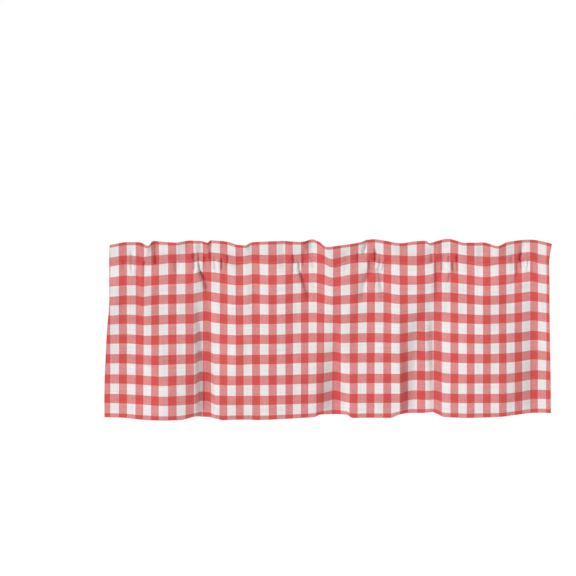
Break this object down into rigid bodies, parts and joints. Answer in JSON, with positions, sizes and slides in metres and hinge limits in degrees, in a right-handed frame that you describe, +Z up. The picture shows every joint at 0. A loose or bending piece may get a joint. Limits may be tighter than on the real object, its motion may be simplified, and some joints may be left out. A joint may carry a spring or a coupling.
{
  "type": "window valance",
  "caption": "Gathered rod-pocket window valance in red and white gingham, with a ruffled header above an open rod pocket and uneven soft folds below it.",
  "frame": {"origin": "middle of the header's top edge, at its mean height, which is where the part hangs from", "axes": "+X along the top edge to the right of someone facing the valance, -Y towards that person, +Z up. The cloth hangs down to Z = -0.45"},
  "size_m": [1.1283, 0.0582, 0.4583],
  "materials": {
    "gingham": "matte plain-weave cotton blend, red and white 25 mm checks, pink where a red and a white stripe cross",
    "thread": "matte sewing thread, pale pink"
  },
  "bodies": {
    "root": {"panel": "gingham", "heading_strip": "gingham"}
  },
  "joints": []
}
